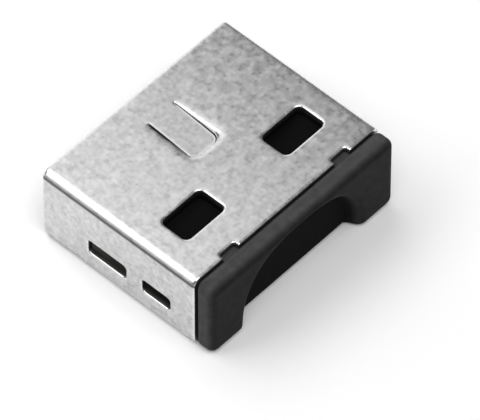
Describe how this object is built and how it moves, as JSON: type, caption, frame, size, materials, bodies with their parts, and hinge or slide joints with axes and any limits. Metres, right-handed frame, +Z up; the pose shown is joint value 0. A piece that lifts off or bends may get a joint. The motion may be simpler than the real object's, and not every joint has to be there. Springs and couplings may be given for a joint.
{
  "type": "usb wifi adapter",
  "caption": "Very short USB plug radio adapter: folded steel plug shell with latch windows, black end cap with fingernail recess, contact carrier and circuit board inside.",
  "frame": {"origin": "centre of the adapter's footprint, on the underside of the plug shell", "axes": "+X across the plug's width, +Y out of the plug's mouth towards the socket, +Z up through the sheet that has the pressed tab"},
  "size_m": [0.012, 0.0102, 0.0045],
  "materials": {
    "plug_steel": "satin, nickel plated, finely mottled",
    "cap_plastic": "moulded, fine spark texture",
    "carrier_plastic": "moulded, matte",
    "board_laminate": "green solder mask over glass laminate",
    "contact_gold": "gold plated",
    "chip_resin": "moulded epoxy resin",
    "tinned_copper": "dull tin plate",
    "crystal_ceramic": "fired brown ceramic",
    "lid_metal": "seam-welded lid, satin",
    "antenna_ceramic": "fired white ceramic",
    "filter_ceramic": "fired pale ceramic",
    "inductor_ferrite": "sintered ferrite, matte",
    "capacitor_ceramic": "fired tan ceramic",
    "resistor_coat": "black glaze",
    "solder": "bright solder"
  },
  "bodies": {
    "root": {"shell": "plug_steel", "end_cap": "cap_plastic", "contact_carrier": "carrier_plastic", "circuit_board": "board_laminate", "contact_power": "contact_gold", "contact_data_minus": "contact_gold", "contact_data_plus": "contact_gold", "contact_ground": "contact_gold", "radio_chip": "chip_resin", "radio_chip_pads": "tinned_copper", "crystal_base": "crystal_ceramic", "crystal_lid": "lid_metal", "chip_antenna": "antenna_ceramic", "antenna_ends": "tinned_copper", "antenna_filter": "filter_ceramic", "filter_ends": "tinned_copper", "matching_parts": "inductor_ferrite", "matching_ends": "tinned_copper", "power_inductor": "inductor_ferrite", "inductor_ends": "tinned_copper", "bulk_capacitor": "capacitor_ceramic", "bulk_capacitor_ends": "tinned_copper", "small_capacitors": "capacitor_ceramic", "capacitor_ends": "tinned_copper", "small_resistors": "resistor_coat", "resistor_ends": "tinned_copper", "surge_protector": "chip_resin", "protector_pads": "tinned_copper", "solder_fillets": "solder"}
  },
  "joints": []
}
